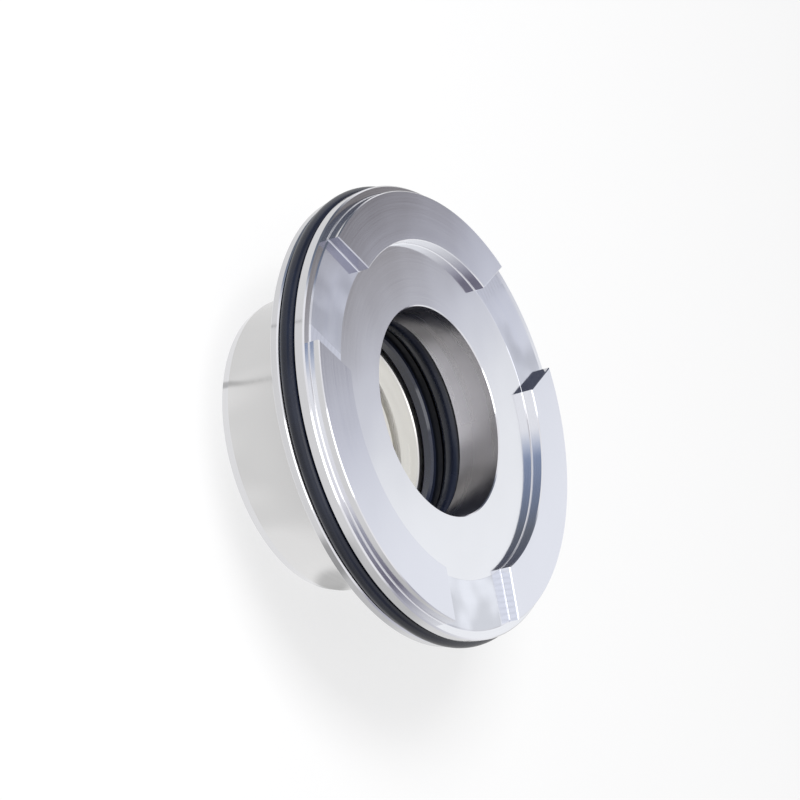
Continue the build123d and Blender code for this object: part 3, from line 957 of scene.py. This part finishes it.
# Degrees round the part, and the light of the wall there. Higher up, the edges of the walls lean.
walls = (
    (0, (1.20, 1.22, 1.25)), (45, (1.10, 1.10, 1.15)), (62, (0.46, 0.47, 0.56)),
    (88, (0.24, 0.23, 0.30)), (99, (0.22, 0.21, 0.28)), (108, (0.46, 0.46, 0.54)),
    (128, (0.85, 0.86, 0.90)), (150, (1.10, 1.12, 1.15)), (189.5, (1.04, 1.06, 1.09)),
    (191, (0.95, 0.97, 1.00)), (193.4, (0.64, 0.66, 0.78)), (194.8, (0.45, 0.44, 0.455)),
    (196.4, (0.225, 0.21, 0.215)), (200, (0.125, 0.12, 0.127)), (230, (0.11, 0.12, 0.16)),
    (262, (0.16, 0.18, 0.22)), (300, (0.26, 0.32, 0.46)), (322, (0.34, 0.42, 0.60)),
    (331, (0.72, 0.79, 0.94)), (342, (1.20, 1.22, 1.25)))
wall_lean = 0.6
wall_level = 29.0
wall_foot = (4.0, 16.0)
wall_head = (34.5, 41.0)
dome_fade = (48.0, 80.0)
dome_low = (1.0, 1.0, 1.03, 1)
dome_zenith = (0.62, 0.62, 0.66, 1)
even_light = (0.36, 0.36, 0.37, 1)

world = bpy.data.worlds.new("studio")
bpy.context.scene.world = world
world.use_nodes = True
tree = world.node_tree
background = tree.nodes["Background"]
x, y, z = node(tree, "SeparateXYZ", {0: node(tree, "TexCoord").outputs["Generated"]}).outputs
azimuth = math_node(tree, "MULTIPLY", math_node(tree, "ARCTAN2", y, x), 180 / pi)
elevation = math_node(tree, "MULTIPLY", math_node(tree, "ARCSINE", z), 180 / pi)
above = math_node(tree, "SUBTRACT", elevation, wall_level)
leaning = math_node(tree, "MULTIPLY_ADD", above, wall_lean, azimuth)
turn = math_node(tree, "DIVIDE", math_node(tree, "WRAP", leaning, 360.0, 0.0), 360.0)
wall_ramp = node(tree, "ValToRGB", {0: turn})
stops = wall_ramp.color_ramp.elements
stops[0].color = (*walls[0][1], 1)
stops[1].color = (*walls[0][1], 1)
for degrees_round, colour in walls[1:]:
    stops.new(degrees_round / 360).color = (*colour, 1)
foot = remap(tree, elevation, wall_foot, smooth=True)
head = remap(tree, elevation, wall_head, (1.0, 0.0), smooth=True)
on_wall = math_node(tree, "MULTIPLY", foot, head)
dome = blend_colours(tree, remap(tree, elevation, dome_fade, smooth=True), dome_low, dome_zenith)
studio = blend_colours(tree, on_wall, dome, wall_ramp.outputs[0])
rays = node(tree, "LightPath").outputs
light = blend_colours(tree, rays["Is Glossy Ray"], even_light, studio)
clear = blend_colours(tree, rays["Is Camera Ray"], light, (1, 1, 1, 1))
tree.links.new(clear, background.inputs["Color"])
background.inputs["Strength"].default_value = 1.0

# ---------------------------------------------------------------- camera
# A long lens a little above the face, turned on its side so that the seal's
# axis points to the right of the picture.
aim = Vector((0.0009, -0.0044, 0.0250))
camera_azimuth, camera_elevation = 11.13, 31.05
camera_roll = radians(74.52)
camera_distance = 0.5910
out = towards(camera_azimuth, camera_elevation)
lens = bpy.data.cameras.new("camera")
lens.lens = 122.9
lens.sensor_width = 36.0
lens.clip_start, lens.clip_end = 0.05, 10.0
camera = bpy.data.objects.new("camera", lens)
camera.location = aim + out * camera_distance
level = (-out).to_track_quat("-Z", "Y")
camera.rotation_mode = "QUATERNION"
camera.rotation_quaternion = level @ Euler((0, 0, camera_roll)).to_quaternion()
bpy.context.scene.collection.objects.link(camera)
bpy.context.scene.camera = camera
bpy.context.scene.view_settings.view_transform = "Standard"
